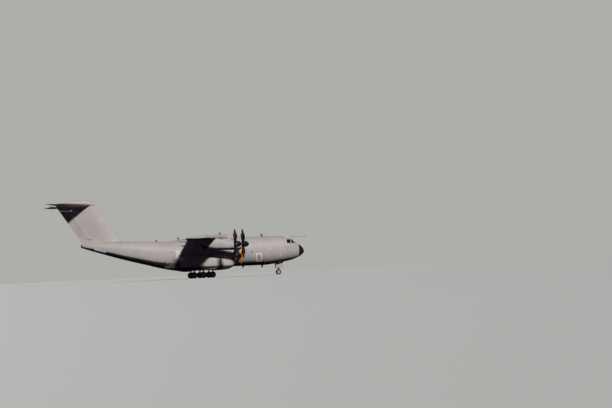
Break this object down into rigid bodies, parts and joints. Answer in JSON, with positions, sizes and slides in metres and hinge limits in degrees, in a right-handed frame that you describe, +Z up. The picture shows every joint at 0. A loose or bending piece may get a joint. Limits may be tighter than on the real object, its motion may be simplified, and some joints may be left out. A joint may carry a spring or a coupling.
{
  "type": "half-scale model of a military transport plane",
  "caption": "Half-scale high-wing transport plane with turboprops, T-tail, sponsons and a hollow hold behind a rear ramp, standing on its wheels.",
  "frame": {"origin": "on the ground, below the middle of the length, on the centre line", "axes": "+X to the nose, +Y to the left wing tip, +Z up"},
  "size_m": [22.75, 21.2, 7.3062],
  "materials": {
    "airframe_paint": "matte warm grey paint",
    "composite_paint": "matte warm grey paint on composite",
    "radome_black": "satin black",
    "blade_black": "satin black",
    "glazing": "dark tinted",
    "engine_metal": "satin",
    "gear_paint": "gloss white",
    "probe_metal": "matte grey",
    "tyres": "matte black with white rims",
    "deck_metal": "worn bare metal",
    "cockpit_grey": "matte dark grey",
    "seat_cloth": "woven"
  },
  "bodies": {
    "airframe": {"fuselage_nose": "airframe_paint", "fuselage_centre": "airframe_paint", "fuselage_rear": "airframe_paint", "radome": "radome_black", "cockpit_glazing": "glazing", "flight_deck": "cockpit_grey", "pilot_seat_left": "seat_cloth", "pilot_seat_right": "seat_cloth", "jump_door_left": "airframe_paint", "jump_door_right": "airframe_paint", "cargo_floor": "deck_metal", "wing_fairing": "airframe_paint", "wing_left": "airframe_paint", "wing_right": "airframe_paint", "nacelle_inner_left": "composite_paint", "nacelle_outer_left": "composite_paint", "nacelle_inner_right": "composite_paint", "nacelle_outer_right": "composite_paint", "engine_inner_left": "engine_metal", "engine_outer_left": "engine_metal", "engine_inner_right": "engine_metal", "engine_outer_right": "engine_metal", "fin": "composite_paint", "tailplane": "composite_paint", "sponson_left": "composite_paint", "sponson_right": "composite_paint", "main_gear_legs_left": "gear_paint", "main_gear_legs_right": "gear_paint", "nose_gear_leg": "gear_paint", "nose_gear_door_left": "composite_paint", "nose_gear_door_right": "composite_paint", "refuelling_probe": "probe_metal"},
    "crew_door": {"crew_door": "airframe_paint"},
    "ramp": {"ramp": "airframe_paint"},
    "upper_cargo_door": {"upper_cargo_door": "airframe_paint"},
    "flap_inner_left": {"flap_inner_left": "airframe_paint"},
    "flap_inner_right": {"flap_inner_right": "airframe_paint"},
    "flap_outer_left": {"flap_outer_left": "airframe_paint"},
    "flap_outer_right": {"flap_outer_right": "airframe_paint"},
    "aileron_left": {"aileron_left": "composite_paint"},
    "aileron_right": {"aileron_right": "composite_paint"},
    "rudder": {"rudder": "composite_paint"},
    "elevator_left": {"elevator_left": "composite_paint"},
    "elevator_right": {"elevator_right": "composite_paint"},
    "propeller_inner_left": {"propeller_inner_left": "blade_black"},
    "propeller_outer_left": {"propeller_outer_left": "blade_black"},
    "propeller_inner_right": {"propeller_inner_right": "blade_black"},
    "propeller_outer_right": {"propeller_outer_right": "blade_black"},
    "main_wheels_front_left": {"main_wheels_front_left": "tyres"},
    "main_wheels_middle_left": {"main_wheels_middle_left": "tyres"},
    "main_wheels_rear_left": {"main_wheels_rear_left": "tyres"},
    "main_wheels_front_right": {"main_wheels_front_right": "tyres"},
    "main_wheels_middle_right": {"main_wheels_middle_right": "tyres"},
    "main_wheels_rear_right": {"main_wheels_rear_right": "tyres"},
    "nose_gear_fork": {"nose_gear_fork": "gear_paint"},
    "nose_wheels": {"nose_wheels": "tyres"}
  },
  "joints": [
    {"name": "crew_door_hinge", "type": "hinge", "parent": "airframe", "child": "crew_door", "pos_m": [8.1125, 1.095, 1.3], "axis": [-1, 0, 0], "range_deg": [0, 125]},
    {"name": "ramp_hinge", "type": "hinge", "parent": "airframe", "child": "ramp", "pos_m": [-1.087, 0, 0.94905], "axis": [0, -1, 0], "range_deg": [0, 34]},
    {"name": "upper_door_hinge", "type": "hinge", "parent": "airframe", "child": "upper_cargo_door", "pos_m": [-6.825, 0, 2.77667], "axis": [0, -1, 0], "range_deg": [0, 20]},
    {"name": "flap_inner_left_hinge", "type": "hinge", "parent": "airframe", "child": "flap_inner_left", "pos_m": [1.46375, 3.125, 3.05756], "axis": [0.1653, -0.9862, 0.0011], "range_deg": [0, 35]},
    {"name": "flap_inner_right_hinge", "type": "hinge", "parent": "airframe", "child": "flap_inner_right", "pos_m": [1.46375, -3.125, 3.05756], "axis": [-0.1653, -0.9862, -0.0011], "range_deg": [0, 35]},
    {"name": "flap_outer_left_hinge", "type": "hinge", "parent": "airframe", "child": "flap_outer_left", "pos_m": [0.965, 6.1, 3.05308], "axis": [0.1652, -0.9863, 0.0019], "range_deg": [0, 35]},
    {"name": "flap_outer_right_hinge", "type": "hinge", "parent": "airframe", "child": "flap_outer_right", "pos_m": [0.965, -6.1, 3.05308], "axis": [-0.1652, -0.9863, -0.0019], "range_deg": [0, 35]},
    {"name": "aileron_left_hinge", "type": "hinge", "parent": "airframe", "child": "aileron_left", "pos_m": [0.4555, 8.9125, 3.33133], "axis": [-0.1613, 0.9868, -0.0103], "range_deg": [-25, 25]},
    {"name": "aileron_right_hinge", "type": "hinge", "parent": "airframe", "child": "aileron_right", "pos_m": [0.4555, -8.9125, 3.33133], "axis": [0.1613, 0.9868, 0.0103], "range_deg": [-25, 25]},
    {"name": "rudder_hinge", "type": "hinge", "parent": "airframe", "child": "rudder", "pos_m": [-8.1022, 0, 4.9], "axis": [-0.5474, 0, 0.8369], "range_deg": [-25, 25]},
    {"name": "elevator_left_hinge", "type": "hinge", "parent": "airframe", "child": "elevator_left", "pos_m": [-10.22275, 2.525, 6.81], "axis": [-0.3184, 0.948, 0], "range_deg": [-15, 25]},
    {"name": "elevator_right_hinge", "type": "hinge", "parent": "airframe", "child": "elevator_right", "pos_m": [-10.22275, -2.525, 6.81], "axis": [0.3184, 0.948, 0], "range_deg": [-15, 25]},
    {"name": "propeller_inner_left_spin", "type": "hinge", "parent": "airframe", "child": "propeller_inner_left", "pos_m": [5.425, 2.95, 2.77], "axis": [1, 0, 0], "continuous": true},
    {"name": "propeller_outer_left_spin", "type": "hinge", "parent": "airframe", "child": "propeller_outer_left", "pos_m": [4.425, 5.75, 2.76], "axis": [1, 0, 0], "continuous": true},
    {"name": "propeller_inner_right_spin", "type": "hinge", "parent": "airframe", "child": "propeller_inner_right", "pos_m": [5.425, -2.95, 2.77], "axis": [1, 0, 0], "continuous": true},
    {"name": "propeller_outer_right_spin", "type": "hinge", "parent": "airframe", "child": "propeller_outer_right", "pos_m": [4.425, -5.75, 2.76], "axis": [1, 0, 0], "continuous": true},
    {"name": "main_wheels_front_left_spin", "type": "hinge", "parent": "airframe", "child": "main_wheels_front_left", "pos_m": [2.825, 1.56, 0.2725], "axis": [0, 1, 0], "continuous": true},
    {"name": "main_wheels_middle_left_spin", "type": "hinge", "parent": "airframe", "child": "main_wheels_middle_left", "pos_m": [2.025, 1.56, 0.2725], "axis": [0, 1, 0], "continuous": true},
    {"name": "main_wheels_rear_left_spin", "type": "hinge", "parent": "airframe", "child": "main_wheels_rear_left", "pos_m": [1.225, 1.56, 0.2725], "axis": [0, 1, 0], "continuous": true},
    {"name": "main_wheels_front_right_spin", "type": "hinge", "parent": "airframe", "child": "main_wheels_front_right", "pos_m": [2.825, -1.56, 0.2725], "axis": [0, 1, 0], "continuous": true},
    {"name": "main_wheels_middle_right_spin", "type": "hinge", "parent": "airframe", "child": "main_wheels_middle_right", "pos_m": [2.025, -1.56, 0.2725], "axis": [0, 1, 0], "continuous": true},
    {"name": "main_wheels_rear_right_spin", "type": "hinge", "parent": "airframe", "child": "main_wheels_rear_right", "pos_m": [1.225, -1.56, 0.2725], "axis": [0, 1, 0], "continuous": true},
    {"name": "nose_steering", "type": "hinge", "parent": "airframe", "child": "nose_gear_fork", "pos_m": [8.825, 0, 0.4], "axis": [0, 0, 1], "range_deg": [-60, 60]},
    {"name": "nose_wheels_spin", "type": "hinge", "parent": "nose_gear_fork", "child": "nose_wheels", "pos_m": [8.825, 0, 0.225], "axis": [0, 1, 0], "continuous": true}
  ]
}
